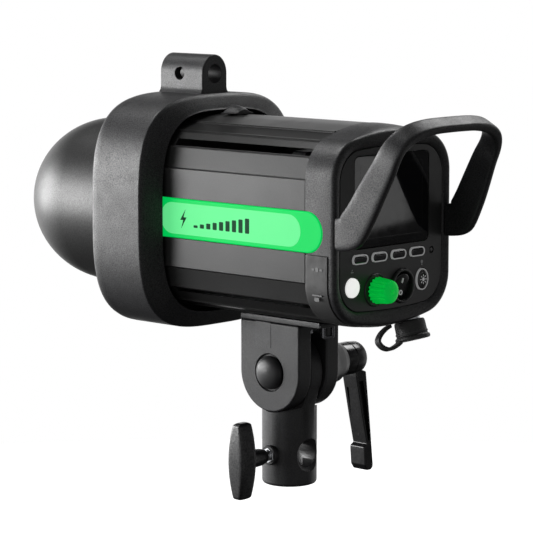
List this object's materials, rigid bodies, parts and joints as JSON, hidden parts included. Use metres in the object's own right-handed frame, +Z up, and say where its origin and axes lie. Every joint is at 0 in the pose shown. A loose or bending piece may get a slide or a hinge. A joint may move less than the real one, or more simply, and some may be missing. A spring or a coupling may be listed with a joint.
{
  "type": "monolight strobe",
  "caption": "Studio flash head with control panel, carrying handle, protective dome and a tilting socket for a light stand",
  "frame": {"origin": "on the axis of the light-stand socket, at its lower face", "axes": "+Z up along the socket, -Y the way the light leaves, +Y the control panel, +X the strobe's left side"},
  "size_m": [0.1385, 0.3319, 0.2586],
  "materials": {
    "stand_socket": "satin black enamel over a casting",
    "tee_wing": "glossy black",
    "tee_screw": "bright zinc",
    "tee_pad": "machined",
    "yoke_bracket": "satin black enamel over a casting",
    "base_plate": "satin black enamel over a casting",
    "yoke_bolt_front": "bright zinc",
    "yoke_bolt_rear": "bright zinc",
    "friction_washer_left": "machined",
    "friction_washer_right": "machined",
    "safety_loop": "bright zinc",
    "pivot_bolt": "satin black enamel over a casting",
    "cone_spacer": "glossy black",
    "clamp_nut": "bright zinc",
    "lever_screw": "bright zinc",
    "lever_spring": "bright zinc",
    "clamp_lever": "glossy black",
    "front_collar": "satin black, fine texture",
    "rod_thumbscrew": "glossy black",
    "rod_pad": "machined",
    "protective_dome": "high gloss black",
    "mid_shell": "glossy black",
    "side_lens_left": "translucent green, lit from inside",
    "side_lens_right": "translucent green, lit from inside",
    "release_latch": "satin black, fine texture",
    "latch_spring": "bright zinc",
    "rear_housing": "satin black, fine texture",
    "port_cover": "matt black rubber",
    "sync_jack": "machined",
    "data_port": "bright zinc",
    "power_inlet": "plain aluminium",
    "dust_cap": "matt black rubber",
    "cap_tether": "matt black rubber",
    "rear_panel": "glossy black",
    "display_window": "black display glass",
    "display_module": "satin black, fine texture",
    "soft_key_1": "high gloss black",
    "soft_key_2": "high gloss black",
    "soft_key_3": "high gloss black",
    "soft_key_4": "high gloss black",
    "test_button": "white",
    "model_button": "glossy black",
    "sensor_window": "high gloss black",
    "dial_knob": "translucent green, lit from inside",
    "rotary_encoder": "bright zinc",
    "power_switch": "glossy black",
    "power_rocker": "glossy black",
    "carry_handle": "satin black, fine texture",
    "reflector_plate": "plain aluminium",
    "lamp_base": "unglazed",
    "modelling_lamp": "clear",
    "flash_tube": "clear",
    "capacitor_left": "plain aluminium",
    "capacitor_right": "plain aluminium",
    "power_board": "green circuit board",
    "control_board": "green circuit board",
    "chassis_plate": "plain aluminium",
    "heat_sink": "plain aluminium",
    "fan_frame": "glossy black",
    "fan_rotor": "glossy black"
  },
  "bodies": {
    "stand": {"stand_socket": "stand_socket"},
    "tee_foot": {"tee_pad": "tee_pad"},
    "tee": {"tee_wing": "tee_wing", "tee_screw": "tee_screw"},
    "head": {"yoke_bracket": "yoke_bracket", "base_plate": "base_plate", "yoke_bolt_front": "yoke_bolt_front", "yoke_bolt_rear": "yoke_bolt_rear", "friction_washer_left": "friction_washer_left", "friction_washer_right": "friction_washer_right", "safety_loop": "safety_loop", "pivot_bolt": "pivot_bolt", "cone_spacer": "cone_spacer", "front_collar": "front_collar", "mid_shell": "mid_shell", "side_lens_left": "side_lens_left", "side_lens_right": "side_lens_right", "latch_spring": "latch_spring", "rear_housing": "rear_housing", "sync_jack": "sync_jack", "data_port": "data_port", "power_inlet": "power_inlet", "cap_tether": "cap_tether", "rear_panel": "rear_panel", "display_window": "display_window", "display_module": "display_module", "sensor_window": "sensor_window", "rotary_encoder": "rotary_encoder", "power_switch": "power_switch", "carry_handle": "carry_handle", "reflector_plate": "reflector_plate", "lamp_base": "lamp_base", "modelling_lamp": "modelling_lamp", "flash_tube": "flash_tube", "capacitor_left": "capacitor_left", "capacitor_right": "capacitor_right", "power_board": "power_board", "control_board": "control_board", "chassis_plate": "chassis_plate", "heat_sink": "heat_sink", "fan_frame": "fan_frame"},
    "clamp": {"clamp_nut": "clamp_nut", "lever_screw": "lever_screw", "lever_spring": "lever_spring"},
    "lever": {"clamp_lever": "clamp_lever"},
    "rod_foot": {"rod_pad": "rod_pad"},
    "rod_knob": {"rod_thumbscrew": "rod_thumbscrew"},
    "dome": {"protective_dome": "protective_dome"},
    "latch": {"release_latch": "release_latch"},
    "port_flap": {"port_cover": "port_cover"},
    "inlet_cap": {"dust_cap": "dust_cap"},
    "key_1": {"soft_key_1": "soft_key_1"},
    "key_2": {"soft_key_2": "soft_key_2"},
    "key_3": {"soft_key_3": "soft_key_3"},
    "key_4": {"soft_key_4": "soft_key_4"},
    "test_key": {"test_button": "test_button"},
    "model_key": {"model_button": "model_button"},
    "dial": {"dial_knob": "dial_knob"},
    "rocker": {"power_rocker": "power_rocker"},
    "fan": {"fan_rotor": "fan_rotor"}
  },
  "joints": [
    {"name": "head_tilt", "type": "hinge", "parent": "stand", "child": "head", "pos_m": [0, 0, 0.0689], "axis": [1, 0, 0], "range_deg": [-75, 75]},
    {"name": "clamp_turn", "type": "hinge", "parent": "head", "child": "clamp", "pos_m": [-0.0428, 0, 0.0689], "axis": [1, 0, 0], "range_deg": [-90, 90]},
    {"name": "lever_lift", "type": "slide", "parent": "clamp", "child": "lever", "axis": [-1, 0, 0], "range_m": [0, 0.0023], "stiffness_N_per_m": 1500, "springref_m": -0.002, "deforming": ["lever_spring"]},
    {"name": "tee_press", "type": "slide", "parent": "stand", "child": "tee_foot", "axis": [1, 0, 0], "range_m": [-0.0031, 0.0031]},
    {"name": "tee_turn", "type": "hinge", "parent": "tee_foot", "child": "tee", "pos_m": [0.0083, 0, 0.019], "axis": [1, 0, 0], "range_deg": [-1080, 1080]},
    {"name": "rod_press", "type": "slide", "parent": "head", "child": "rod_foot", "axis": [-1, 0, 0], "range_m": [-0.0034, 0.001]},
    {"name": "rod_turn", "type": "hinge", "parent": "rod_foot", "child": "rod_knob", "pos_m": [-0.0088, -0.0815, 0.243], "axis": [-1, 0, 0], "range_deg": [-1440, 360]},
    {"name": "dome_twist", "type": "hinge", "parent": "head", "child": "dome", "pos_m": [0, 0, 0.1607], "axis": [0, 1, 0], "range_deg": [0, 20]},
    {"name": "latch_press", "type": "slide", "parent": "head", "child": "latch", "axis": [0, 1, 0], "range_m": [0, 0.005], "stiffness_N_per_m": 900, "springref_m": -0.001, "deforming": ["latch_spring"]},
    {"name": "port_flap_open", "type": "hinge", "parent": "head", "child": "port_flap", "pos_m": [0.02128, 0.068, 0.10421], "axis": [0, 1, 0], "range_deg": [0, 90]},
    {"name": "inlet_cap_pull", "type": "slide", "parent": "head", "child": "inlet_cap", "axis": [0, 0.2924, -0.9563], "range_m": [0, 0.014], "deforming": ["cap_tether"]},
    {"name": "key_1_press", "type": "slide", "parent": "head", "child": "key_1", "axis": [0, -1, 0], "range_m": [0, 0.0008], "stiffness_N_per_m": 1200, "springref_m": -0.0002},
    {"name": "key_2_press", "type": "slide", "parent": "head", "child": "key_2", "axis": [0, -1, 0], "range_m": [0, 0.0008], "stiffness_N_per_m": 1200, "springref_m": -0.0002},
    {"name": "key_3_press", "type": "slide", "parent": "head", "child": "key_3", "axis": [0, -1, 0], "range_m": [0, 0.0008], "stiffness_N_per_m": 1200, "springref_m": -0.0002},
    {"name": "key_4_press", "type": "slide", "parent": "head", "child": "key_4", "axis": [0, -1, 0], "range_m": [0, 0.0008], "stiffness_N_per_m": 1200, "springref_m": -0.0002},
    {"name": "test_press", "type": "slide", "parent": "head", "child": "test_key", "axis": [0, -1, 0], "range_m": [0, 0.001], "stiffness_N_per_m": 1200, "springref_m": -0.0002},
    {"name": "model_press", "type": "slide", "parent": "head", "child": "model_key", "axis": [0, -1, 0], "range_m": [0, 0.001], "stiffness_N_per_m": 1200, "springref_m": -0.0002},
    {"name": "dial_turn", "type": "hinge", "parent": "head", "child": "dial", "pos_m": [0.0143, 0.0799, 0.1258], "axis": [0, 1, 0], "continuous": true},
    {"name": "power_rock", "type": "hinge", "parent": "head", "child": "rocker", "pos_m": [-0.0089, 0.0768, 0.126], "axis": [1, 0, 0], "range_deg": [0, 24]},
    {"name": "fan_spin", "type": "hinge", "parent": "head", "child": "fan", "pos_m": [0, 0.025, 0.1822], "axis": [0, 1, 0], "continuous": true}
  ],
  "couplings": [
    {"joint": "tee_press", "follows": "tee_turn", "m_per_rad": 0.00015915},
    {"joint": "rod_press", "follows": "rod_turn", "m_per_rad": 0.00012732}
  ]
}
